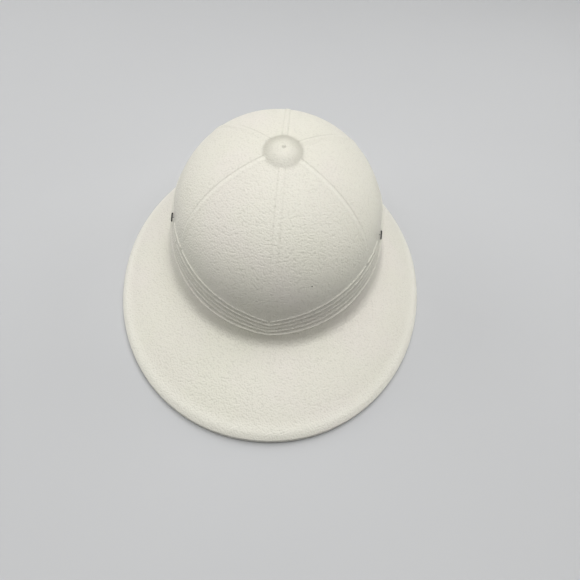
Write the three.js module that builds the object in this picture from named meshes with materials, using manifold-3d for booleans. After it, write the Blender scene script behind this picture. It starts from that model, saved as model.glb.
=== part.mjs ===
// A pith helmet: one thin moulded shell standing on its rim, and an elastic chin cord
// held by a small cross bar on each side of the crown. Millimetres, +Z up, front at -Y.
import * as THREE from 'three';
import { mergeVertices } from 'three/addons/utils/BufferGeometryUtils.js';
import Module from 'manifold-3d';

const { degToRad, lerp, clamp, smoothstep } = THREE.MathUtils;

// Brim: an oval seen from above, a little longer in front of its widest line.
const brimWidth = 280;
const brimLength = 334.2;
const brimWidestY = 4.1;
const brimSquareness = { front: 2.06, back: 1.97 };
const brimBulge = 2.4;
const wall = 2.2;

// Turned-down rim: where the brim would meet the rim's upright edge, and the edge itself.
const rimCornerZ = 7;
const rimTurnReach = 6.5;
const rimEdgeZ = 1.8;
const rimToeInset = 0.6;

// Crown: an oval dome on a flaring wall, nodding forward over the brim.
const crownCentreY = 18.1;
const crownPitch = degToRad(3);
const pitchHeight = 50;
const crownHalfWidth = 89.1;
const crownHalfLength = 103.8;
const domeFootZ = 62.6;
const crownTopZ = 132.5;
const domeHeightPower = 0.834;
const domeRadiusPower = 1.085;
const wallFlare = 0.326;
const flareSoftness = 14;
const brimJunctionZ = 32;
const filletReach = 7;

// Button on top of the crown: a low dome, as oval as the crown itself.
const buttonRadius = 16.5;
const buttonHeight = 2.2;
const buttonRoundness = 2.2;

// Six seams: flat raised strips that run down from the button and fade towards the band. Those over
// the temples lean forward on their way down, and part the band's top ridge where they meet it.
const seams = [
  { top: 37, foot: 38, partsRidge: false },
  { top: 90.5, foot: 90.5, partsRidge: false },
  { top: 143, foot: 142, partsRidge: false },
  { top: 210, foot: 215.5, partsRidge: true },
  { top: 271, foot: 271, partsRidge: false },
  { top: 330.5, foot: 326, partsRidge: true },
];
const seamWidth = 5;
const seamHeight = 0.6;
const seamFlank = 0.7;
const seamFadeZ = { from: 108, to: 80 };

// Band: five fine ridges that dip and close up towards the front, each at its share of the way from
// the top ridge down to the bottom one.
const ridgeShares = [0, 0.25, 0.515, 0.755, 1];
const ridgeHeight = 0.9;
const ridgeHalfWidth = 1.2;
const frontAngle = 270.7;
const ridgeHeights = [
  { fromFront: 0, top: 58.4, bottom: 42.9 },
  { fromFront: 12, top: 64, bottom: 45.3 },
  { fromFront: 28, top: 69.5, bottom: 47.4 },
  { fromFront: 52, top: 76.5, bottom: 51.2 },
  { fromFront: 72, top: 80.2, bottom: 53.2 },
  { fromFront: 180, top: 79, bottom: 52 },
];

// Chin cord, and the cross bars that stop its ends on the band's top ridge.
const cordDiameter = 2;
const cordSides = 8;
const cordSteps = 72;
const holeDiameter = 2.8;
const holeSides = 12;
const toggleLength = 10;
const toggleDiameter = 1.5;
const toggleFromFront = 72.8;
const clearance = 0.3;

// Mesh density.
const panelColumns = 8;
const domeRows = 11;
const domeTopAngle = degToRad(76);
const buttonRings = [
  { reach: 0.3, inner: false },
  { reach: 0.55, inner: true },
  { reach: 0.76, inner: false },
  { reach: 0.91, inner: false },
  { reach: 1, inner: false },
  { reach: 1.15, inner: true },
];
const filletSteps = [0, 0.25, 0.5, 0.75, 1];
const brimSteps = [0.3, 0.55, 0.8];
const rimSteps = [0, 0.25, 0.5, 0.75, 1];

// Materials, one for each kind of surface.
const plastic = { color: 0xddd8c8, roughness: 0.62, metalness: 0 };
const elastic = { color: 0x1d1c1a, roughness: 0.9, metalness: 0 };
const hardBlack = { color: 0x201f1b, roughness: 0.5, metalness: 0 };

const signedPower = (value, power) => Math.sign(value) * Math.abs(value) ** power;

// Straight-line look-up of one column of the ridge table, the same on both sides of the front.
function ridgeLevel(angle, column) {
  const turn = Math.abs(((angle - degToRad(frontAngle)) * 180) / Math.PI) % 360;
  const fromFront = turn > 180 ? 360 - turn : turn;
  const last = ridgeHeights.length - 1;
  const next = clamp(ridgeHeights.findIndex((row) => row.fromFront >= fromFront), 1, last);
  const [low, high] = [ridgeHeights[next - 1], ridgeHeights[next]];
  const share = (fromFront - low.fromFront) / (high.fromFront - low.fromFront);
  return lerp(low[column], high[column], share);
}

// A point given in the crown's upright frame, nodded forward and set over the brim.
function pitched(x, y, z) {
  const point = new THREE.Vector3(x, y, z - pitchHeight);
  point.applyAxisAngle(new THREE.Vector3(1, 0, 0), crownPitch);
  return point.add(new THREE.Vector3(0, crownCentreY, pitchHeight));
}

// How far the crown reaches at a height, as a share of its size at the dome's foot.
function domeShare(height) {
  const rise = clamp((height - domeFootZ) / (crownTopZ - domeFootZ), 0, 1) ** (1 / domeHeightPower);
  return Math.sqrt(1 - rise * rise) ** domeRadiusPower;
}

function domeHeight(share) {
  const across = share ** (1 / domeRadiusPower);
  return domeFootZ + (crownTopZ - domeFootZ) * Math.sqrt(1 - across * across) ** domeHeightPower;
}

function crownPoint(angle, height) {
  const flare = wallFlare * flareSoftness * Math.log1p(Math.exp((domeFootZ - height) / flareSoftness));
  const share = domeShare(height);
  const x = (crownHalfWidth * share + flare) * Math.cos(angle);
  const y = (crownHalfLength * share + flare) * Math.sin(angle);
  return pitched(x, y, height);
}

// The rim's outline, at a height over the floor.
function rimPoint(angle, height) {
  const [across, along] = [Math.cos(angle), Math.sin(angle)];
  const halfLength = brimLength / 2 - Math.sign(along) * brimWidestY;
  const power = 2 / (along < 0 ? brimSquareness.front : brimSquareness.back);
  const x = (brimWidth / 2) * signedPower(across, power);
  const y = brimWidestY + halfLength * signedPower(along, power);
  return new THREE.Vector3(x, y, height);
}

function rimToe(angle, inset) {
  const toe = rimPoint(angle, 0);
  const inward = crownPoint(angle, brimJunctionZ).sub(toe).setZ(0).normalize();
  return toe.addScaledVector(inward, inset);
}

// The brim's slope from under the band to the rim's corner, slightly domed.
function brimPoint(angle, share) {
  const start = crownPoint(angle, brimJunctionZ);
  const point = start.lerp(rimPoint(angle, rimCornerZ), share);
  point.z += brimBulge * 4 * share * (1 - share);
  return point;
}

function brimShare(angle, reach) {
  return reach / crownPoint(angle, brimJunctionZ).distanceTo(rimPoint(angle, rimCornerZ));
}

function bend(start, corner, end, share) {
  return new THREE.QuadraticBezierCurve3(start, corner, end).getPoint(share);
}

// Rows of the shell from the top down. Each has its place at an angle, the radius that sets the
// seams' angular width, how far down the seams it lies, the button's and ridges' relief, and
// whether the inner skin keeps it.
function shellRows() {
  const rows = [];
  const meanRadius = (crownHalfWidth + crownHalfLength) / 2;
  for (const { reach, inner } of buttonRings) {
    const height = domeHeight((reach * buttonRadius) / meanRadius);
    rows.push({
      at: (angle) => crownPoint(angle, height),
      radius: Math.max(reach, 1) * buttonRadius,
      drop: 0,
      relief: buttonHeight * Math.max(0, 1 - reach ** buttonRoundness),
      seams: reach < 1 ? 0 : 1,
      inner,
    });
  }

  const footHeight = domeHeight((buttonRings.at(-1).reach * buttonRadius) / meanRadius);
  const bandTop = (angle) => ridgeLevel(angle, 'top') + ridgeHalfWidth;
  for (let step = 1; step < domeRows; step += 1) {
    const turn = Math.sin(domeTopAngle * (1 - step / domeRows)) / Math.sin(domeTopAngle);
    const rise = turn ** domeHeightPower;
    const height = (angle) => lerp(bandTop(angle), footHeight, rise);
    const sideHeight = height(0);
    rows.push({
      at: (angle) => crownPoint(angle, height(angle)),
      radius: meanRadius * domeShare(sideHeight),
      drop: 1 - rise,
      relief: 0,
      seams: smoothstep(sideHeight, seamFadeZ.to, seamFadeZ.from),
      inner: step % 2 === 0,
    });
  }

  ridgeShares.forEach((share, ridge) => {
    const level = (angle) => lerp(ridgeLevel(angle, 'top'), ridgeLevel(angle, 'bottom'), share);
    for (const side of [1, 0, -1]) {
      rows.push({
        at: (angle) => crownPoint(angle, level(angle) + side * ridgeHalfWidth),
        radius: meanRadius,
        drop: 1,
        relief: side === 0 ? ridgeHeight : 0,
        notched: ridge === 0,
        seams: 0,
        inner: side === 0 && ridge % 2 === 0,
      });
    }
  });

  const wallEnd = (angle) => crownPoint(angle, brimJunctionZ + filletReach);
  const plainRow = (at) => ({ at, radius: meanRadius, drop: 1, relief: 0, seams: 0, inner: true });
  for (const step of filletSteps) {
    const at = (angle) => {
      const end = brimPoint(angle, brimShare(angle, filletReach));
      return bend(wallEnd(angle), crownPoint(angle, brimJunctionZ), end, step);
    };
    rows.push(plainRow(at));
  }
  for (const step of brimSteps) {
    const at = (angle) => {
      const turn = 1 - brimShare(angle, rimTurnReach);
      return brimPoint(angle, lerp(brimShare(angle, filletReach), turn, step));
    };
    rows.push(plainRow(at));
  }
  for (const step of rimSteps) {
    const at = (angle) => {
      const start = brimPoint(angle, 1 - brimShare(angle, rimTurnReach));
      return bend(start, rimPoint(angle, rimCornerZ), rimPoint(angle, rimEdgeZ), step);
    };
    rows.push(plainRow(at));
  }
  return rows;
}

// Columns round the shell: four at each seam's flanks, and evenly spread ones over each panel.
function shellColumns({ radius, drop }) {
  const flanks = [-1, -1, 1, 1].map((side, edge) => {
    const outer = edge === 0 || edge === 3;
    return (side * (seamWidth + (outer ? seamFlank : -seamFlank))) / 2 / radius;
  });
  const centres = seams.map(({ top, foot }) => degToRad(lerp(top, foot, drop)));
  const columns = [];
  centres.forEach((here, seam) => {
    const next = centres[seam + 1] ?? centres[0] + 2 * Math.PI;
    flanks.forEach((offset, edge) => {
      const onSeam = edge === 1 || edge === 2;
      columns.push({ angle: here + offset, onSeam, partsRidge: seams[seam].partsRidge });
    });
    for (let panel = 1; panel <= panelColumns; panel += 1) {
      const share = panel / (panelColumns + 1);
      columns.push({ angle: lerp(here + flanks[3], next + flanks[0], share), onSeam: false });
    }
  });
  return columns;
}

// Two triangles for each cell between neighbouring rows, given as lists of vertex numbers.
function stitch(indices, upper, lower) {
  upper.forEach((corner, column) => {
    const next = (column + 1) % upper.length;
    indices.push(corner, lower[column], lower[next]);
    indices.push(corner, lower[next], upper[next]);
  });
}

function fan(indices, pole, ring, outward) {
  ring.forEach((corner, column) => {
    const next = ring[(column + 1) % ring.length];
    indices.push(...(outward ? [pole, corner, next] : [pole, next, corner]));
  });
}

function meshOf(points, indices) {
  const geometry = new THREE.BufferGeometry();
  geometry.setAttribute('position', new THREE.Float32BufferAttribute(points.flatMap((p) => p.toArray()), 3));
  geometry.setIndex(indices);
  return geometry;
}

// The closed shell: an outer skin with all its relief, the flat toe of the rim, and a plain inner skin.
function shellGeometry() {
  const rows = shellRows();
  const columns = rows.map(shellColumns);
  const count = columns[0].length;
  const ringOf = (start) => Array.from({ length: count }, (_, column) => start + column);

  const smooth = [pitched(0, 0, crownTopZ)];
  rows.forEach((row, line) => columns[line].forEach(({ angle }) => smooth.push(row.at(angle))));
  const smoothIndices = [];
  fan(smoothIndices, 0, ringOf(1), true);
  for (let line = 1; line < rows.length; line += 1) {
    stitch(smoothIndices, ringOf(1 + (line - 1) * count), ringOf(1 + line * count));
  }
  const plain = meshOf(smooth, smoothIndices);
  plain.computeVertexNormals();
  const normals = plain.getAttribute('normal');
  const raised = (vertex, distance) => {
    const outward = new THREE.Vector3().fromBufferAttribute(normals, vertex);
    return smooth[vertex].clone().addScaledVector(outward, distance);
  };

  const points = [raised(0, buttonHeight)];
  const indices = [...smoothIndices];
  rows.forEach((row, line) => columns[line].forEach(({ onSeam, partsRidge }, column) => {
    const cut = row.notched && onSeam && partsRidge;
    const relief = cut ? 0 : row.relief + (onSeam ? seamHeight * row.seams : 0);
    points.push(raised(1 + line * count + column, relief));
  }));

  let previous = ringOf(1 + (rows.length - 1) * count);
  for (const inset of [rimToeInset, wall - rimToeInset]) {
    const toe = ringOf(points.length);
    columns.at(-1).forEach(({ angle }) => points.push(rimToe(angle, inset)));
    stitch(indices, previous, toe);
    previous = toe;
  }
  for (let line = rows.length - 1; line >= 0; line -= 1) {
    if (rows[line].inner) {
      const ring = ringOf(points.length);
      columns[line].forEach((_, column) => points.push(raised(1 + line * count + column, -wall)));
      stitch(indices, previous, ring);
      previous = ring;
    }
  }
  points.push(raised(0, -wall));
  fan(indices, points.length - 1, previous, false);
  return meshOf(points, indices);
}

// Closed meshes cut from one another.
const wasm = await Module();
wasm.setup();

function solidOf(geometry) {
  const bare = geometry.clone();
  bare.deleteAttribute('normal');
  bare.deleteAttribute('uv');
  const merged = mergeVertices(bare);
  const vertProperties = new Float32Array(merged.getAttribute('position').array);
  const triVerts = new Uint32Array(merged.index.array);
  return new wasm.Manifold(new wasm.Mesh({ numProp: 3, vertProperties, triVerts }));
}

function geometryOf(solid) {
  const mesh = solid.getMesh();
  const geometry = new THREE.BufferGeometry();
  geometry.setAttribute('position', new THREE.BufferAttribute(mesh.vertProperties, 3));
  geometry.setIndex(new THREE.BufferAttribute(mesh.triVerts, 1));
  return geometry;
}

// Where the cord passes the crown's wall on each side, and the way out of the wall there.
function crownNormal(angle, height) {
  const step = 0.01;
  const round = crownPoint(angle + step, height).sub(crownPoint(angle - step, height));
  const up = crownPoint(angle, height + step).sub(crownPoint(angle, height - step));
  return round.cross(up).normalize();
}

const sides = [
  { name: 'left', angle: degToRad(frontAngle - toggleFromFront) },
  { name: 'right', angle: degToRad(frontAngle + toggleFromFront) },
].map(({ name, angle }) => {
  const height = ridgeLevel(angle, 'top');
  return { name, place: crownPoint(angle, height), outward: crownNormal(angle, height) };
});

function nodeMesh(name, geometry, look) {
  const mesh = new THREE.Mesh(geometry, new THREE.MeshStandardMaterial(look));
  mesh.name = name;
  return mesh;
}

function helmetShell() {
  let shell = solidOf(shellGeometry());
  for (const { place, outward } of sides) {
    const hole = new THREE.CylinderGeometry(holeDiameter / 2, holeDiameter / 2, wall * 4, holeSides);
    const turn = new THREE.Quaternion().setFromUnitVectors(new THREE.Vector3(0, 1, 0), outward);
    hole.applyQuaternion(turn).translate(place.x, place.y, place.z);
    shell = shell.subtract(solidOf(hole));
  }
  return nodeMesh('helmet_shell', geometryOf(shell), plastic);
}

function cordToggle({ name, place, outward }) {
  const radius = toggleDiameter / 2;
  const bar = nodeMesh(
    `cord_toggle_${name}`,
    new THREE.CapsuleGeometry(radius, toggleLength - toggleDiameter, 3, cordSides),
    hardBlack,
  );
  bar.position.copy(place).addScaledVector(outward, ridgeHeight + clearance + radius);
  const along = new THREE.Vector3(-outward.y, outward.x, 0).normalize();
  bar.quaternion.setFromUnitVectors(new THREE.Vector3(0, 1, 0), along.multiplyScalar(Math.sign(along.y)));
  return bar;
}

// The cord's own way between the holes: in through the wall, down to the floor, and loosely across it.
const floorZ = cordDiameter / 2 + 0.1;
const cordRoute = [
  [-79.5, -13.7, 77.4],
  [-75.5, -12.3, 75.4],
  [-72.2, -10.8, 69.5],
  [-70.7, -9.6, 60],
  [-70, -8.8, 46],
  [-69.6, -8.6, 32],
  [-69, -8.7, 20],
  [-66.8, -9.6, 10.6],
  [-62.6, -12, 4.6],
  [-57, -15.8, 1.8],
  [-50.5, -21, floorZ],
  [-43.5, -29, floorZ],
  [-34, -40, floorZ],
  [-20, -49.5, floorZ],
  [-3.5, -52.5, floorZ],
  [12.5, -48, floorZ],
  [25.5, -38.5, floorZ],
  [35.5, -28.5, floorZ],
  [44.5, -20.8, floorZ],
  [52, -16.4, floorZ],
  [58.2, -13.8, 1.8],
  [63.2, -11.6, 4.6],
  [67, -10, 10.6],
  [69.1, -9.2, 20],
  [69.7, -8.8, 32],
  [70.1, -8.8, 46],
  [70.7, -9, 60],
  [72.2, -9.4, 69.5],
  [75.7, -10.2, 75.4],
  [80.1, -11.4, 77.5],
];

function chinCord() {
  const ends = sides.map(({ place, outward }) => place.clone().addScaledVector(outward, ridgeHeight));
  const route = cordRoute.map((point) => new THREE.Vector3(...point));
  const path = new THREE.CatmullRomCurve3([ends[0], ...route, ends[1]], false, 'centripetal');
  const ring = Array.from({ length: cordSides }, (_, side) => {
    const angle = (2 * Math.PI * side) / cordSides;
    return new THREE.Vector2(Math.cos(angle), Math.sin(angle)).multiplyScalar(cordDiameter / 2);
  });
  const tube = { steps: cordSteps, bevelEnabled: false, extrudePath: path };
  return nodeMesh('chin_cord', new THREE.ExtrudeGeometry(new THREE.Shape(ring), tube), elastic);
}

const helmet = new THREE.Group();
helmet.add(helmetShell(), chinCord(), ...sides.map(cordToggle));

export default helmet;
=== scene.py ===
import math

import bpy
import numpy as np
from mathutils import Matrix, Vector


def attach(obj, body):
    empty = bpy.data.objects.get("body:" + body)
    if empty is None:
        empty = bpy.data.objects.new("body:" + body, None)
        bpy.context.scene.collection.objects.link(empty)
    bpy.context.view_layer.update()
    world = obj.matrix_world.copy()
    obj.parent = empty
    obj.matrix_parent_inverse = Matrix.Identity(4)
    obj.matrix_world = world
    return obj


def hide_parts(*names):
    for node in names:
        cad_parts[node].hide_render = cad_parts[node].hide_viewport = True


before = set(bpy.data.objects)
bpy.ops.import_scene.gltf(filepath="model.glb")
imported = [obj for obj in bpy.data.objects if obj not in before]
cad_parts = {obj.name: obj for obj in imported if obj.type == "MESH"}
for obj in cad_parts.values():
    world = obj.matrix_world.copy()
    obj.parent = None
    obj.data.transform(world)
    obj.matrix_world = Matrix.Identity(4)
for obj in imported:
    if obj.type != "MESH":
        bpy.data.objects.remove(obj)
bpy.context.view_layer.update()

mm = 0.001
scene = bpy.context.scene
scene.view_settings.view_transform = "Standard"


# Camera, where the photo was taken from. Sizes in millimetres.
cameraView = {
    "at": (6.373, -254.521, 341.828),
    "lookAt": (15.614, -52.423, 44.051),
    "roll": 7.4537,
    "focalPixels": 429.666,
    "picturePixels": 580,
    "sensor": 36.0,
}


def placeCamera(view):
    data = bpy.data.cameras.new("photo_camera")
    data.sensor_width = view["sensor"]
    data.lens = view["sensor"] * view["focalPixels"] / view["picturePixels"]
    data.clip_start = 0.01
    at = Vector(view["at"]) * mm
    back = (at - Vector(view["lookAt"]) * mm).normalized()
    right = Vector((0, 0, 1)).cross(back).normalized()
    turn = Matrix((right, back.cross(right), back)).transposed()
    camera = bpy.data.objects.new("photo_camera", data)
    camera.matrix_world = (
        Matrix.Translation(at)
        @ (turn @ Matrix.Rotation(math.radians(view["roll"]), 3, "Z")).to_4x4()
    )
    scene.collection.objects.link(camera)
    scene.camera = camera


placeCamera(cameraView)
print("camera placed")


# Wraps a shader socket, so that sums on values are written as Python.
class Shade:
    def __init__(self, tree, socket=None):
        self.tree = tree
        self.socket = socket

    def node(self, kind, settings=None, sockets=None, output=0):
        made = self.tree.nodes.new("ShaderNode" + kind)
        for name, value in (settings or {}).items():
            setattr(made, name, value)
        for name, value in (sockets or {}).items():
            if isinstance(value, Shade):
                self.tree.links.new(value.socket, made.inputs[name])
            else:
                made.inputs[name].default_value = value
        return Shade(self.tree, made.outputs[output] if made.outputs else None)

    def math(self, operation, *values):
        return self.node("Math", {"operation": operation}, dict(enumerate(values)))

    def __add__(self, other):
        return self.math("ADD", self, other)

    def __radd__(self, other):
        return self.math("ADD", other, self)

    def __sub__(self, other):
        return self.math("SUBTRACT", self, other)

    def __rsub__(self, other):
        return self.math("SUBTRACT", other, self)

    def __mul__(self, other):
        return self.math("MULTIPLY", self, other)

    def __rmul__(self, other):
        return self.math("MULTIPLY", other, self)

    def __pow__(self, other):
        return self.math("POWER", self, other)

    def ramp(self, low, high):    # 0 below low, 1 above high, eased between
        return self.node(
            "MapRange",
            {"interpolation_type": "SMOOTHSTEP"},
            {"Value": self, "From Min": low, "From Max": high},
        )

    def tint(self, first, second):    # first colour where this is 0, second where it is 1
        return self.node("Mix", {"data_type": "RGBA"}, {0: self, 6: first, 7: second}, 2)

    def coat(self, settings):
        shader = self.node("BsdfPrincipled", None, settings)
        self.node("OutputMaterial", None, {"Surface": shader})


def newMaterial(name):
    material = bpy.data.materials.new(name)
    material.use_nodes = True
    material.node_tree.nodes.clear()
    return material, Shade(material.node_tree)


def newPiece(name, points, faces, material, replaced):
    mesh = bpy.data.meshes.new(name)
    mesh.from_pydata((np.asarray(points) * mm).tolist(), [], faces)
    mesh.materials.append(material)
    mesh.shade_smooth()
    piece = bpy.data.objects.new(name, mesh)
    scene.collection.objects.link(piece)
    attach(piece, "root")
    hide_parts(replaced)
    return piece


# The helmet's own shape, in millimetres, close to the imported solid's. The dome's rows are spread by an angle.
crown = {
    "centreY": 18.1, "pitch": 3.0, "pitchHeight": 50.0,
    "halfWidth": 89.1, "halfLength": 103.8,
    "domeFoot": 62.6, "top": 132.5, "heightPower": 0.834, "radiusPower": 1.085,
    "wallFlare": 0.326, "flareSoftness": 14.0, "junction": 32.0, "filletReach": 5.6,
    "rowSpread": 76.0,
}
brim = {
    "width": 280.0, "length": 334.2, "widestY": 4.1,
    "frontSquareness": 2.06, "backSquareness": 1.97, "bulge": 2.4,
    "cornerZ": 7.0, "turnReach": 5.4, "turnCorner": 2.8, "lipZ": 6.0, "edgeZ": 1.8, "toeInset": 0.6,
    # The rim is painted paler over its rolled edge, a painted highlight.
    "roll": 0.5, "rollReach": 9.0, "paintedRimLight": 0.6, "wall": 2.2,
}
meanRadius = (crown["halfWidth"] + crown["halfLength"]) / 2


def stack(x, y, z):
    return np.stack(np.broadcast_arrays(x, y, z), -1).astype(float)


def pitched(x, y, z):    # from the crown's upright frame to the helmet's
    angle = math.radians(crown["pitch"])
    lift = z - crown["pitchHeight"]
    return stack(
        x,
        y * math.cos(angle) - lift * math.sin(angle) + crown["centreY"],
        y * math.sin(angle) + lift * math.cos(angle) + crown["pitchHeight"],
    )


def domeShare(height):
    rise = np.clip((height - crown["domeFoot"]) / (crown["top"] - crown["domeFoot"]), 0, 1)
    return np.sqrt(1 - rise ** (2 / crown["heightPower"])) ** crown["radiusPower"]


def domeHeight(share):
    across = np.asarray(share) ** (1 / crown["radiusPower"])
    rise = np.sqrt(1 - across ** 2) ** crown["heightPower"]
    return crown["domeFoot"] + (crown["top"] - crown["domeFoot"]) * rise


def crownPoint(angle, height):
    height, soft = np.asarray(height, float), crown["flareSoftness"]
    flare = crown["wallFlare"] * soft * np.log1p(np.exp((crown["domeFoot"] - height) / soft))
    share = domeShare(height)
    return pitched(
        (crown["halfWidth"] * share + flare) * np.cos(angle),
        (crown["halfLength"] * share + flare) * np.sin(angle),
        height,
    )


def crownNormal(angle, height):
    step = 0.01
    around = crownPoint(angle + step, height) - crownPoint(angle - step, height)
    upward = crownPoint(angle, height + step) - crownPoint(angle, height - step)
    normal = np.cross(around, upward)
    return normal / np.linalg.norm(normal, axis=-1, keepdims=True)


def rimPoint(angle, height):
    across, along = np.cos(angle), np.sin(angle)
    power = 2 / np.where(along < 0, brim["frontSquareness"], brim["backSquareness"])
    halfLength = brim["length"] / 2 - np.sign(along) * brim["widestY"]
    return stack(
        brim["width"] / 2 * np.sign(across) * np.abs(across) ** power,
        brim["widestY"] + halfLength * np.sign(along) * np.abs(along) ** power,
        height,
    )


def rimToe(angle, inset):
    toe = rimPoint(angle, 0.0)
    inward = (crownPoint(angle, crown["junction"]) - toe) * (1, 1, 0)
    return toe + inset * inward / np.linalg.norm(inward, axis=-1, keepdims=True)


def brimPoint(angle, share):
    start = crownPoint(angle, crown["junction"])
    share = np.asarray(share)[..., None]
    point = start + (rimPoint(angle, brim["cornerZ"]) - start) * share
    return point + 4 * brim["bulge"] * share * (1 - share) * (0, 0, 1)


def brimShare(angle, reach):
    span = rimPoint(angle, brim["cornerZ"]) - crownPoint(angle, crown["junction"])
    return reach / np.linalg.norm(span, axis=-1)


def bend(start, corner, end, share):
    return (1 - share) ** 2 * start + 2 * share * (1 - share) * corner + share ** 2 * end


# Band: heights of its top and bottom ridges by degrees from the front, and the relief of all five.
band = {
    "fromFront": (0, 12, 28, 52, 72, 180),
    "top": (58.4, 64, 69.5, 76.5, 80.2, 79),
    "bottom": (42.9, 45.3, 47.4, 51.2, 53.2, 52),
    "front": 270.7,
    "shares": (0, 0.25, 0.515, 0.755, 1),
    "relief": (0.64, 0.72, 0.5, 0.52, 0.8), "sideRelief": (0.85, 0.9, 0.75, 0.75, 1.2),
    "sideFrom": 22.0, "sideTo": 46.0, "softness": 0.8, "sharpness": 1.4, "foot": 0.3,
    "rowOffsets": (1.7, 1.35, 1.0, 0.7, 0.45, 0.2, 0, -0.2, -0.45, -0.7, -1.0, -1.35, -1.7),
    # angle and width of the top ridge's gaps, the last two under the cord's bars
    "breaks": ((215.6, 1.8), (325.9, 2.2), (270.9, 1.2), (197.9, 9.0), (343.5, 9.0)),
    "breakFlank": 0.9,
}


def fromFront(angle):
    turn = np.abs(np.degrees(angle) - band["front"]) % 360
    return np.minimum(turn, 360 - turn)


def ridgeLevel(angle, column):
    margin = 8    # degrees mirrored past the front and the back, for the smoothing
    levels = np.interp(np.arange(0, 181), band["fromFront"], band[column])
    around = np.concatenate([levels[margin:0:-1], levels, levels[-2:-2 - margin:-1]])
    smooth = np.convolve(around, np.hanning(5) / np.hanning(5).sum(), "same")
    return np.interp(fromFront(angle), np.arange(-margin, 181 + margin), smooth)


# Chin cord: elastic, knotless, from hole to hole by way of the floor. Route in millimetres.
floorZ = 1.1
cordPlan = {
    "diameter": 2.0, "sides": 14, "step": 0.8,
    "holeFromFront": 72.8, "holeDiameter": 2.8, "endReach": -0.75, "stemHole": 0.8,
    "holeMargin": 0.1, "drillOut": 3.0, "drillDepth": 9.0, "drillSides": 24,
    "route": (
        (-79.5, -13.7, 77.4), (-75.5, -12.3, 75.4), (-72.2, -10.8, 69.5), (-70.7, -9.6, 60),
        (-70, -8.8, 46), (-69.6, -8.6, 32), (-69, -8.7, 20), (-66.8, -9.6, 10.6),
        (-62.6, -12, 4.6), (-57, -15.8, 1.8), (-50.5, -21, floorZ), (-43.5, -29, floorZ),
        (-34, -40, floorZ), (-20, -49.5, floorZ), (-3.5, -52.5, floorZ), (12.5, -48, floorZ),
        (25.5, -38.5, floorZ), (35.5, -28.5, floorZ), (44.5, -20.8, floorZ),
        (52, -16.4, floorZ), (58.2, -13.8, 1.8), (63.2, -11.6, 4.6), (67, -10, 10.6),
        (69.1, -9.2, 20), (69.7, -8.8, 32), (70.1, -8.8, 46), (70.7, -9, 60),
        (72.2, -9.4, 69.5), (75.7, -10.2, 75.4), (80.1, -11.4, 77.5),
    ),
    # The paler colour is a painted highlight on the braid's strands.
    "colour": (0.010, 0.010, 0.009, 1), "wearAndHighlight": (0.045, 0.043, 0.04, 1),
    "strands": 8, "plaitsPerMetre": 620, "braidDepth": 0.18, "braidStrength": 0.7,
    "fuzzScale": 900.0, "fuzz": 0.35, "roughness": 0.9,
}


def cordHole(side):    # a hole's place on the wall, and the way out of the wall there
    angle = math.radians(band["front"] + side * cordPlan["holeFromFront"])
    height = float(ridgeLevel(angle, "top"))
    return crownPoint(angle, height), crownNormal(angle, height)


def smoothPath(route, step):    # centripetal curve through the route's points, evenly resampled
    points = np.array(route, float)
    points = np.vstack([2 * points[0] - points[1], points, 2 * points[-1] - points[-2]])
    fine = []
    for a, b, c, d in zip(points, points[1:], points[2:], points[3:]):
        knots = np.cumsum([0] + [np.linalg.norm(q - p) ** 0.5 for p, q in ((a, b), (b, c), (c, d))])
        t = np.linspace(knots[1], knots[2], 40, endpoint=False)[:, None]
        mix = lambda p, q, i, j: ((knots[j] - t) * p + (t - knots[i]) * q) / (knots[j] - knots[i])
        low, mid, high = mix(a, b, 0, 1), mix(b, c, 1, 2), mix(c, d, 2, 3)
        fine.append(mix(mix(low, mid, 0, 2), mix(mid, high, 1, 3), 1, 2))
    fine = np.vstack([*fine, points[-2:-1]])
    reach = np.concatenate([[0], np.cumsum(np.linalg.norm(np.diff(fine, axis=0), axis=1))])
    even = np.linspace(0, reach[-1], int(reach[-1] / step) + 1)
    return np.stack([np.interp(even, reach, fine[:, axis]) for axis in range(3)], -1), reach[-1]


def cordMaterial():
    material, shade = newMaterial("braided_elastic")
    along = shade.node("TexCoord", output="UV")
    parts = shade.node("SeparateXYZ", None, {0: along})
    length, turn = parts, Shade(shade.tree, parts.socket.node.outputs[1])
    run = length * (cordPlan["plaitsPerMetre"] * 2 * math.pi)
    wrap = turn * (cordPlan["strands"] * 2 * math.pi)
    plait = (run + wrap).math("SINE", run + wrap) * (run - wrap).math("SINE", run - wrap)
    fuzz = shade.node("TexNoise", None, {"Vector": along, "Scale": cordPlan["fuzzScale"], "Detail": 3.0})
    bump = shade.node("Bump", None, {
        "Height": plait * 0.5 + fuzz * cordPlan["fuzz"],
        "Strength": cordPlan["braidStrength"],
        "Distance": cordPlan["braidDepth"] * mm,
    })
    # Paler on the plaits' crests, a painted highlight, and paler at random with the fuzz.
    lit = (plait * 0.5 + 0.5) * 0.6 + fuzz * 0.4
    shade.coat({
        "Base Color": lit.ramp(0.25, 0.95).tint(cordPlan["colour"], cordPlan["wearAndHighlight"]),
        "Roughness": cordPlan["roughness"],
        "Normal": bump,
    })
    return material


def tubeFaces(rings, sides):
    faces = []
    for i in range(rings - 1):
        for j in range(sides):
            k = (j + 1) % sides
            faces.append((i * sides + j, i * sides + k, (i + 1) * sides + k, (i + 1) * sides + j))
    return faces


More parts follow.
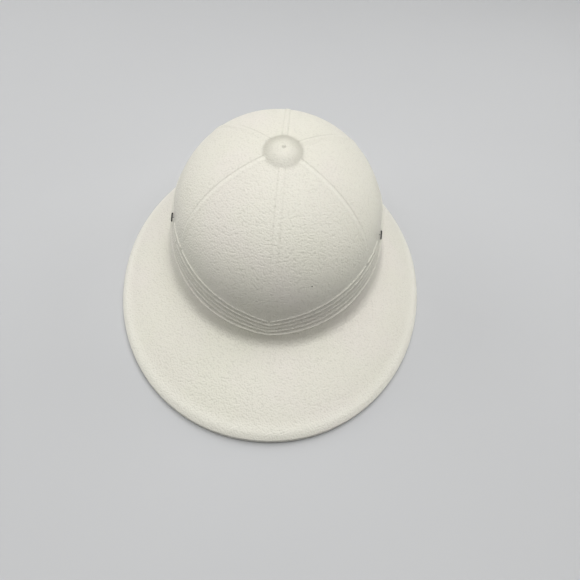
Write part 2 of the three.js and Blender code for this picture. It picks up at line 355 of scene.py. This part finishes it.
def makeCord():
    ends = [place + cordPlan["endReach"] * outward for place, outward in map(cordHole, (-1, 1))]
    path, length = smoothPath([ends[0], *cordPlan["route"], ends[1]], cordPlan["step"])
    sides = cordPlan["sides"]
    tangents = np.gradient(path, axis=0)
    tangents /= np.linalg.norm(tangents, axis=1, keepdims=True)
    across = np.zeros_like(path)
    across[0] = np.cross(tangents[0], (0, 0, 1))
    for i in range(1, len(path)):    # carries one side along without twisting
        across[i] = across[i - 1] - tangents[i] * (across[i - 1] @ tangents[i])
        across[i] /= np.linalg.norm(across[i])
    across[0] /= np.linalg.norm(across[0])
    other = np.cross(tangents, across)
    turn = 2 * np.pi * np.arange(sides) / sides
    ring = np.cos(turn)[None, :, None] * across[:, None] + np.sin(turn)[None, :, None] * other[:, None]
    points = (path[:, None] + ring * cordPlan["diameter"] / 2).reshape(-1, 3)
    faces = tubeFaces(len(path), sides)
    faces.append(tuple(range(sides))[::-1])
    faces.append(tuple((len(path) - 1) * sides + j for j in range(sides)))
    cord = newPiece("chin_cord_elastic", points, faces, cordMaterial(), "chin_cord")
    layer = cord.data.uv_layers.new(name="run")
    step = length * mm / (len(path) - 1)
    for face in cord.data.polygons:
        for corner, vertex in zip(face.loop_indices, face.vertices):
            row, side = divmod(vertex, sides)
            seam = side == 0 and any(v % sides == sides - 1 for v in face.vertices)
            layer.data[corner].uv = (row * step, 1.0 if seam else side / sides)
    return cord, path, length


# Cross bars on the cord's ends: waisted in the middle, bowed to lie along the wall, on a thin stem.
barPlan = {
    "length": 10.0, "diameter": 1.3, "standOff": 1.65, "lift": 8.0, "waist": 0.1, "waistSpread": 0.32,
    "bow": 0.15, "bowLevel": 0.3,
    "rings": 44, "sides": 18, "stem": 0.45, "stemRings": 6,
    "colour": (0.0135, 0.0125, 0.0095, 1), "wearAndHighlight": (0.035, 0.033, 0.028, 1),
    "mottleScale": 700.0, "fineScale": 4200.0, "fineDepth": 0.04, "fineStrength": 0.25,
}


def barMaterial():
    material, shade = newMaterial("black_moulded_plastic")
    place = shade.node("TexCoord", output="Object")
    mottle = shade.node(
        "TexNoise", None, {"Vector": place, "Scale": barPlan["mottleScale"], "Detail": 4.0},
    )
    fine = shade.node("TexNoise", None, {"Vector": place, "Scale": barPlan["fineScale"], "Detail": 2.0})
    bump = shade.node("Bump", None, {
        "Height": fine,
        "Strength": barPlan["fineStrength"],
        "Distance": barPlan["fineDepth"] * mm,
    })
    shade.coat({
        "Base Color": mottle.ramp(0.42, 0.72).tint(barPlan["colour"], barPlan["wearAndHighlight"]),
        "Roughness": mottle * 0.25 + 0.38,
        "Normal": bump,
    })
    return material


def makeBar(name, side, material):
    place, outward = cordHole(side)
    radius = barPlan["diameter"] / 2
    lift = math.radians(barPlan["lift"])
    centre = place + outward * barPlan["standOff"]
    backward = side * np.array((-outward[1], outward[0], 0.0)) / np.hypot(outward[0], outward[1])
    along = backward * math.cos(lift) - outward * math.sin(lift)
    away = outward * math.cos(lift) + backward * math.sin(lift)
    across = np.cross(away, along)
    rings, sides = barPlan["rings"], barPlan["sides"]
    t = -np.cos(np.linspace(0.0, np.pi, rings + 2)[1:-1])
    half = barPlan["length"] / 2
    fromEnd = half * (1 - np.abs(t))
    girth = radius * np.sqrt(1 - np.clip(1 - fromEnd / radius, 0, 1) ** 2)
    girth *= 1 - barPlan["waist"] * np.exp(-(t / barPlan["waistSpread"]) ** 2)
    bowed = barPlan["bow"] * (t ** 2 - barPlan["bowLevel"])
    spine = centre + np.outer(half * t, along) - np.outer(bowed, away)
    turn = 2 * np.pi * np.arange(sides) / sides
    ring = np.cos(turn)[:, None] * away + np.sin(turn)[:, None] * across
    points = (spine[:, None] + girth[:, None, None] * ring[None]).reshape(-1, 3)
    tips = [spine[0] - along * (half * (1 + t[0])), spine[-1] + along * (half * (1 - t[-1]))]
    points = np.vstack([points, tips])
    faces = tubeFaces(rings, sides)
    last = (rings - 1) * sides
    for j in range(sides):
        k = (j + 1) % sides
        faces.append((rings * sides, k, j))
        faces.append((rings * sides + 1, last + j, last + k))
    stemEnds = (place + outward * cordPlan["endReach"], centre)
    stemSpine = np.linspace(*stemEnds, barPlan["stemRings"])
    collar = np.cos(turn)[:, None] * across + np.sin(turn)[:, None] * along
    stem = (stemSpine[:, None] + barPlan["stem"] / 2 * collar[None]).reshape(-1, 3)
    start = len(points)
    faces += [tuple(start + corner for corner in face) for face in tubeFaces(barPlan["stemRings"], sides)]
    faces.append(tuple(start + j for j in range(sides)))
    faces.append(tuple(start + len(stem) - 1 - j for j in range(sides)))
    return newPiece(
        name + "_bar", np.vstack([points, stem]), faces, material, name
    )


cord, cordPath, cordLength = makeCord()
blackPlastic = barMaterial()
bars = [
    makeBar("cord_toggle_left", -1, blackPlastic),
    makeBar("cord_toggle_right", 1, blackPlastic),
]
print("chin cord made,", round(cordLength), "mm long")


# Button and seams on the crown, in millimetres. The painted shading is painted shade in the creases and round
# the button, below 0 a painted highlight, a paler crest.
button = {
    "radius": 16.5, "height": 2.6, "roundness": 2.1, "footSoftness": 0.1,
    # Painted shade in a ring round the button's foot, stronger towards the back, and round the nub.
    "paintedShading": 0.46, "shadeLean": 0.16, "shadeAt": 0.94, "shadeInside": 0.4, "shadeOutside": 0.12,
    "nubAt": (0.2, 1.2), "nubRadius": 1.7, "nubHeight": 1.0, "nubFlank": 1.4,
    "nubShade": 0.4, "nubShadeAt": 0.8, "nubShadeWidth": 0.3,
    "seamFrom": 0.95, "seamOver": 0.08,    # shares of the radius over which the seams rise
    "rings": (
        0.02, 0.04, 0.06, 0.08, 0.095, 0.11, 0.125, 0.14, 0.155, 0.17, 0.185, 0.2, 0.23, 0.28, 0.34,
        0.42, 0.5, 0.58, 0.66, 0.73, 0.79, 0.84, 0.88, 0.92, 0.955, 0.985, 1.01, 1.035, 1.065, 1.1,
        1.15, 1.22, 1.3,
    ),
}
seams = {
    "top": (37.0, 90.3, 143.0, 210.0, 271.0, 330.5),    # degrees at the button
    "foot": (38.0, 90.3, 142.0, 215.5, 271.0, 326.0),    # and at the band
    "backward": (1, 0, -1, -1, 0, 1),    # the flank that looks to the back, none on the middle seams
    "height": (0.6, 0.5, 0.6, 0.44, 0.17, 0.44),
    # Painted shade on each seam's back flank, and a painted highlight on its crest, fading out over the heights
    # on the next line.
    "paintedShading": (0.5, 0.06, 0.42, 0.5, 0.12, 0.5), "wearAndHighlight": (0.1, 0.05, 0.1, 0.5, 0.1, 0.5),
    "shadingFrom": (127, 124, 127, 113, 113, 113), "shadingTo": (113, 100, 116, 92, 92, 92),
    "halfWidth": 2.2, "steepFlank": 1.1, "softFlank": 3.4, "evenFlank": 1.3,
    "crease": 0.4, "creaseWidth": 0.6, "creaseOut": 0.5, "shadeSpread": 0.75, "highlightSpread": 1.3,
    "fadeFrom": 108.0, "fadeTo": 82.0, "faded": 0.1,
    "offsets": (6.0, 5.0, 4.2, 3.7, 3.35, 3.05, 2.75, 2.45, 2.15, 1.8, 1.3, 0.65),
    "panelColumns": 38,
}
rowCounts = {"dome": 60, "valley": 2, "wall": 3, "fillet": 12, "brim": 15, "rim": 12, "lip": 4}


def columnAngles(radius, drop):
    centres = np.radians(np.array(seams["top"]) * (1 - drop) + np.array(seams["foot"]) * drop)
    half = np.array(seams["offsets"]) / radius
    offsets = np.concatenate([-half, [0], half[::-1]])
    angles = []
    for here, after in zip(centres, [*centres[1:], centres[0] + 2 * np.pi]):
        angles.append(here + offsets)
        angles.append(np.linspace(here + half[0], after - half[0], seams["panelColumns"] + 2)[1:-1])
    return np.concatenate(angles)


def eased(value):
    value = np.clip(value, 0, 1)
    return value ** 2 * (3 - 2 * value)


def stripProfile(backward, height, paintedShading, wearAndHighlight, shadingFrom, shadingTo):    # over a strip and the panel after it
    across = np.concatenate([-np.array(seams["offsets"]), [0], seams["offsets"][::-1]])
    steep = (across * backward > 0) | (backward == 0)
    flank = np.where(steep, seams["steepFlank"] if backward else seams["evenFlank"], seams["softFlank"])
    rise = eased((seams["halfWidth"] + flank / 2 - np.abs(across)) / flank)
    fromEdge = np.abs(across) - seams["halfWidth"]
    crease = steep * np.exp(-((fromEdge - seams["creaseOut"]) / seams["creaseWidth"]) ** 2)
    relief = height * rise - seams["crease"] * paintedShading * crease
    # Painted shade along the back flank's crease, less a painted highlight down the crest.
    paintedTone = paintedShading * steep * np.exp(-((fromEdge - seams["creaseOut"] / 2) / seams["shadeSpread"]) ** 2)
    paintedTone = paintedTone - wearAndHighlight * np.exp(-(across / seams["highlightSpread"]) ** 2)
    flat = np.zeros(seams["panelColumns"])
    relief, paintedTone = np.concatenate([relief, flat]), np.concatenate([paintedTone, flat])
    return relief, paintedTone, np.full(len(paintedTone), shadingFrom), np.full(len(paintedTone), shadingTo)


strips = zip(*(seams[key] for key in ("backward", "height", "paintedShading", "wearAndHighlight", "shadingFrom", "shadingTo")))
seamRelief, seamShading, shadingFrom, shadingTo = np.hstack([stripProfile(*strip) for strip in strips])
columnCount = len(seamRelief)


def softFloor(value, softness):    # max(value, 0) with a rounded foot
    return (value + np.sqrt(value ** 2 + softness ** 2)) / 2


def nubOn(x, y):    # height of the moulding nub on the button, and the painted shade round it
    away = np.hypot(x - button["nubAt"][0], y - button["nubAt"][1]) / button["nubRadius"]
    height = button["nubHeight"] * eased(button["nubFlank"] - button["nubFlank"] * away)
    return height, button["nubShade"] * np.exp(-((away - button["nubShadeAt"]) / button["nubShadeWidth"]) ** 2)


# The outer skin's rows from the top down: points, relief, painted shade and highlight, and whether the inner
# skin keeps the row.
def shellRows():
    rows = []
    flat = np.zeros(columnCount)
    for i, reach in enumerate(button["rings"]):
        angle = columnAngles(max(reach, 1) * button["radius"], 0)
        base = crownPoint(angle, domeHeight(reach * button["radius"] / meanRadius))
        relief = softFloor(button["height"] * (1 - reach ** button["roundness"]), button["footSoftness"])
        strip = np.clip((reach - button["seamFrom"]) / button["seamOver"], 0, 1)
        # Painted shade in a ring at the button's edge, leaning towards the back.
        spread = button["shadeInside"] if reach < button["shadeAt"] else button["shadeOutside"]
        paintedShading = button["paintedShading"] + button["shadeLean"] * np.sin(angle)
        paintedShading = paintedShading * math.exp(-((reach - button["shadeAt"]) / spread) ** 2)
        radius = reach * button["radius"]
        nub, nubShade = nubOn(radius * np.cos(angle), radius * np.sin(angle))
        relief = relief + nub + seamRelief * strip
        rows.append((base, relief, paintedShading + nubShade + seamShading * strip, i % 5 == 4))

    footHeight = domeHeight(button["rings"][-1] * button["radius"] / meanRadius)
    spread = math.radians(crown["rowSpread"])
    for i in range(1, rowCounts["dome"]):
        share = i / rowCounts["dome"]
        rise = (math.sin(spread * (1 - share)) / math.sin(spread)) ** crown["heightPower"]
        sideLevel = float(ridgeLevel(0.0, "top")) + band["rowOffsets"][0]
        sideHeight = sideLevel + (footHeight - sideLevel) * rise
        angle = columnAngles(meanRadius * domeShare(sideHeight), 1 - rise)
        level = ridgeLevel(angle, "top") + band["rowOffsets"][0]
        height = level + (footHeight - level) * rise
        fade = eased((height - seams["fadeTo"]) / (seams["fadeFrom"] - seams["fadeTo"]))
        fade = seams["faded"] + (1 - seams["faded"]) * fade
        # The seams' painted shade and highlight fade out lower down the crown.
        shadingKept = eased((height - shadingTo) / (shadingFrom - shadingTo))
        rows.append((crownPoint(angle, height), seamRelief * fade, seamShading * shadingKept, i % 6 == 0))

    angle = columnAngles(meanRadius, 1)
    top, bottom = ridgeLevel(angle, "top"), ridgeLevel(angle, "bottom")
    offsets = band["rowOffsets"]
    toSide = eased((fromFront(angle) - band["sideFrom"]) / (band["sideTo"] - band["sideFrom"]))
    for ridge, share in enumerate(band["shares"]):
        relief = band["relief"][ridge] * (1 - toSide) + band["sideRelief"][ridge] * toSide
        level = top + (bottom - top) * share
        for offset in offsets:
            profile = math.exp(-(offset / band["softness"]) ** 2 / band["sharpness"])
            foot = band["foot"] * (1 - profile) if share == 1 and offset < 0 else 0
            raised = relief * profile + foot
            if ridge == 0:
                for centre, width in band["breaks"]:
                    away = np.abs(angle - math.radians(centre)) * meanRadius
                    raised *= eased((away - width / 2) / band["breakFlank"])
            rows.append((crownPoint(angle, level + offset), raised, flat, offset == 0))
        if share < 1:
            valleyTop = level + offsets[-1]
            valleyFoot = top + (bottom - top) * band["shares"][ridge + 1] + offsets[0]
            for i in range(1, rowCounts["valley"] + 1):
                height = valleyTop + (valleyFoot - valleyTop) * (i / (rowCounts["valley"] + 1))
                rows.append((crownPoint(angle, height), flat, flat, False))

    wallStart, wallEnd = bottom + offsets[-1], crown["junction"] + crown["filletReach"]
    for i in range(1, rowCounts["wall"] + 1):
        share = i / rowCounts["wall"]
        height = wallStart + (wallEnd - wallStart) * share
        rows.append((crownPoint(angle, height), flat + band["foot"] * (1 - share), flat, share == 1))
    start, corner = crownPoint(angle, wallEnd), crownPoint(angle, crown["junction"])
    brimStart, brimTurn = brimShare(angle, crown["filletReach"]), 1 - brimShare(angle, brim["turnReach"])
    filletEnd, rimStart = brimPoint(angle, brimStart), brimPoint(angle, brimTurn)
    for i in range(1, rowCounts["fillet"] + 1):
        share = i / rowCounts["fillet"]
        rows.append((bend(start, corner, filletEnd, share), flat, flat, i % 3 == 0))
    rollStart = brimTurn - brimShare(angle, brim["rollReach"])
    for i in range(1, rowCounts["brim"] + 1):
        share = brimStart + (brimTurn - brimStart) * (1 - (1 - i / rowCounts["brim"]) ** 1.5)
        rolled = eased((share - rollStart) / (brimTurn - rollStart))
        # Towards the rim a painted highlight, paler over the roll.
        rows.append((brimPoint(angle, share), brim["roll"] * rolled, -brim["paintedRimLight"] * rolled, i % 4 == 0))
    rimCorner = brimPoint(angle, 1 - brimShare(angle, brim["turnCorner"]))
    rimLip = rimPoint(angle, brim["lipZ"])
    for i in range(1, rowCounts["rim"] + 1):
        share = i / rowCounts["rim"]
        roll = flat + brim["roll"] * (1 - share ** 2)
        rows.append((bend(rimStart, rimCorner, rimLip, share), roll, flat - brim["paintedRimLight"], i % 3 == 0))
    for i in range(1, rowCounts["lip"] + 1):
        height = brim["lipZ"] + (brim["edgeZ"] - brim["lipZ"]) * (i / rowCounts["lip"]) ** 1.5
        rows.append((rimPoint(angle, height), flat, flat - brim["paintedRimLight"], i == rowCounts["lip"]))
    return rows, angle


def rowNormals(base):
    around = np.roll(base, -1, axis=1) - np.roll(base, 1, axis=1)
    down = np.gradient(base, axis=0)
    normal = np.cross(down, around)
    return normal / np.linalg.norm(normal, axis=-1, keepdims=True)


def shellMesh():
    rows, rimAngle = shellRows()
    base = np.array([row[0] for row in rows])
    relief = np.array([row[1] for row in rows])
    paintedShading = np.array([np.broadcast_to(row[2], columnCount) for row in rows])
    normal = rowNormals(base)
    pole = pitched(0.0, 0.0, crown["top"])
    poleUp = normal[0].mean(axis=0)
    poleUp /= np.linalg.norm(poleUp)
    outer = base + normal * relief[..., None]
    inner = [base[i] - normal[i] * brim["wall"] for i in range(len(rows) - 1, -1, -1) if rows[i][3]]
    toes = [rimToe(rimAngle, inset) for inset in (brim["toeInset"], brim["wall"] - brim["toeInset"])]
    rings = np.concatenate([outer, toes, inner])
    top = pole + poleUp * (button["height"] + nubOn(0, 0)[0])
    points = np.vstack([rings.reshape(-1, 3), top, pole - poleUp * brim["wall"]])
    n = columnCount
    first = np.arange(n)
    after = np.roll(first, -1)
    quads = [
        np.stack([i * n + first, (i + 1) * n + first, (i + 1) * n + after, i * n + after], -1)
        for i in range(len(rings) - 1)
    ]
    faces = np.concatenate(quads).tolist()
    last = (len(rings) - 1) * n
    faces += [(len(points) - 2, int(a), int(b)) for a, b in zip(first, after)]
    faces += [(len(points) - 1, last + int(b), last + int(a)) for a, b in zip(first, after)]
    paintedTone = np.zeros(len(points))
    paintedTone[: outer.shape[0] * n] = paintedShading.reshape(-1)
    return points, faces, paintedTone


# Ivory moulded plastic with a fine pebbled grain.
plastic = {
    "colour": (0.730, 0.710, 0.628, 1),
    "rosy": (0.736, 0.706, 0.638, 1),
    "leafy": (0.726, 0.711, 0.620, 1),
    # The next two are the painted shade colour and the painted highlight colour.
    "shadeColour": (0.40, 0.385, 0.32, 1),
    "wearAndHighlight": (0.80, 0.785, 0.705, 1),
    "speckColour": (0.05, 0.042, 0.035, 1),
    "roughness": 0.52, "diffuseRoughness": 0.3,
    "pebble": 1.4, "pebbleSmoothness": 0.35, "pebbleShare": 0.75, "poreShare": 0.35, "poreScale": 1900.0,
    # The grain's valleys are darkened, painted shade.
    "grainDepth": 0.42, "valleyShade": 0.14, "patchScale": 17.0, "warpScale": 420.0, "warp": 0.5,
    "speckAt": (291.0, 90.2), "speckRadius": 0.75, "speck": 0.95,
}


def plasticMaterial():
    material, shade = newMaterial("ivory_moulded_plastic")
    place = shade.node("TexCoord", output="Object")
    patches = shade.node(
        "TexNoise", None, {"Vector": place, "Scale": plastic["patchScale"], "Detail": 2.0},
    )
    warp = shade.node(
        "TexNoise", None, {"Vector": place, "Scale": plastic["warpScale"], "Detail": 2.0}, output=1,
    )
    bent = shade.node(
        "VectorMath", {"operation": "MULTIPLY_ADD"}, {0: warp, 1: (plastic["warp"] * mm,) * 3, 2: place},
    )
    cells = shade.node("TexVoronoi", {"feature": "SMOOTH_F1"}, {
        "Vector": bent,
        "Scale": 1 / (plastic["pebble"] * mm),
        "Smoothness": plastic["pebbleSmoothness"],
    })
    pores = shade.node("TexNoise", None, {"Vector": place, "Scale": plastic["poreScale"], "Detail": 3.0})
    pebbles = 1 - cells ** 2.0
    bump = shade.node("Bump", None, {
        "Height": pebbles * plastic["pebbleShare"] + pores * plastic["poreShare"],
        "Strength": 1.0,
        "Distance": plastic["grainDepth"] * mm,
    })
    cream = patches.ramp(0.35, 0.5).tint(plastic["leafy"], plastic["colour"])
    cream = patches.ramp(0.5, 0.68).tint(cream, plastic["rosy"])
    # Painted shade in the grain's valleys.
    cream = ((1 - pebbles.ramp(0.35, 0.8)) * plastic["valleyShade"]).tint(cream, plastic["shadeColour"])
    paintedShading = shade.node("Attribute", {"attribute_name": "paintedShading"}, output=2)
    # Painted shade where the painted shading is above 0, a painted highlight where it is below 0.
    cream = paintedShading.math("MAXIMUM", paintedShading, 0.0).tint(cream, plastic["shadeColour"])
    cream = (0 - paintedShading).math("MAXIMUM", 0 - paintedShading, 0.0).tint(cream, plastic["wearAndHighlight"])
    spot = crownPoint(math.radians(plastic["speckAt"][0]), plastic["speckAt"][1]) * mm
    away = shade.node("VectorMath", {"operation": "DISTANCE"}, {0: place, 1: tuple(spot)}, output=1)
    speck = 1 - away.ramp(0.35 * plastic["speckRadius"] * mm, plastic["speckRadius"] * mm)
    cream = (speck * plastic["speck"]).tint(cream, plastic["speckColour"])
    shade.coat({
        "Base Color": cream,
        "Diffuse Roughness": plastic["diffuseRoughness"],
        "Roughness": pores * 0.12 + (plastic["roughness"] - 0.06),
        "Normal": bump,
    })
    return material


def drillHoles(piece):    # wide from the inside for the cord, then narrow for the bar's stem
    depth = cordPlan["drillDepth"]
    drills = (
        (cordPlan["holeDiameter"], cordPlan["endReach"] + cordPlan["holeMargin"]),
        (cordPlan["stemHole"], cordPlan["drillOut"]),
    )
    for side in (-1, 1):
        place, outward = cordHole(side)
        turn = Vector((0, 0, 1)).rotation_difference(Vector(outward)).to_matrix().to_4x4()
        for diameter, top in drills:
            bpy.ops.mesh.primitive_cylinder_add(
                vertices=cordPlan["drillSides"], radius=diameter / 2 * mm, depth=depth * mm
            )
            drill = bpy.context.object
            middle = Vector(place + outward * (top - depth / 2)) * mm
            drill.matrix_world = Matrix.Translation(middle) @ turn
            cut = piece.modifiers.new("cord_hole", "BOOLEAN")
            cut.operation = "DIFFERENCE"
            cut.solver = "EXACT"
            cut.object = drill
            with bpy.context.temp_override(object=piece):
                bpy.ops.object.modifier_apply(modifier=cut.name)
            bpy.data.objects.remove(drill)


shellPoints, shellFaces, shellShading = shellMesh()
shell = newPiece(
    "helmet_shell_skin", shellPoints, shellFaces, plasticMaterial(), "helmet_shell"
)
# The shell carries its painted shade and painted highlight as a point attribute.
shell.data.attributes.new("paintedShading", "FLOAT", "POINT").data.foreach_set("value", shellShading)
drillHoles(shell)
triangles = sum(len(face.vertices) - 2 for face in shell.data.polygons)
print("helmet shell made,", triangles, "triangles")


# Floor, and soft studio light: large lamps overhead, high at the back and sides, and low at the sides.
stagePlan = {
    "floorSize": 8.0, "floorDrop": 0.05, "floorColour": (0.53, 0.535, 0.54, 1),
    "floorShade": (0.50, 0.505, 0.51, 1),
    "lampReach": 1.6, "lampSize": 0.9, "aim": (0, 0, 0.06),
}
lamps = {    # degrees round from the front, degrees up, watts
    "overhead": (0, 90, 8.6),
    "back": (180, 66, 5.3),
    "backRight": (120, 66, 3.4),
    "right": (60, 66, 5.4),
    "left": (300, 66, 4.5),
    "lowRight": (120, 28, 4.6),
    "lowBackLeft": (240, 28, 4.0),
    "lowLeft": (270, 28, 4.0),
}


def floorMaterial():
    material, shade = newMaterial("pale_floor")
    place = shade.node("TexCoord", output="Object")
    mottle = shade.node("TexNoise", None, {"Vector": place, "Scale": 3.0, "Detail": 4.0})
    shade.coat({
        "Base Color": mottle.tint(stagePlan["floorColour"], stagePlan["floorShade"]),
        "Roughness": 0.85,
    })
    return material


def makeStage():
    half = stagePlan["floorSize"] / 2
    mesh = bpy.data.meshes.new("floor")
    z = -stagePlan["floorDrop"] * mm
    corners = [(-half, -half, z), (half, -half, z), (half, half, z), (-half, half, z)]
    mesh.from_pydata(corners, [], [(0, 1, 2, 3)])
    mesh.materials.append(floorMaterial())
    floor = bpy.data.objects.new("floor", mesh)
    scene.collection.objects.link(floor)
    world = bpy.data.worlds.new("studio")
    scene.world = world
    world.use_nodes = True
    world.node_tree.nodes["Background"].inputs["Strength"].default_value = 0.0
    for name, (around, up, power) in lamps.items():
        data = bpy.data.lights.new(name, "AREA")
        data.shape = "DISK"
        data.size = stagePlan["lampSize"]
        data.energy = power
        lamp = bpy.data.objects.new(name, data)
        around, up = math.radians(around), math.radians(up)
        way = Vector((math.sin(around) * math.cos(up), -math.cos(around) * math.cos(up), math.sin(up)))
        lamp.location = way * stagePlan["lampReach"]
        aim = Vector(stagePlan["aim"]) - lamp.location
        lamp.rotation_euler = aim.to_track_quat("-Z", "Y").to_euler()
        scene.collection.objects.link(lamp)


makeStage()
print("floor and lights placed")
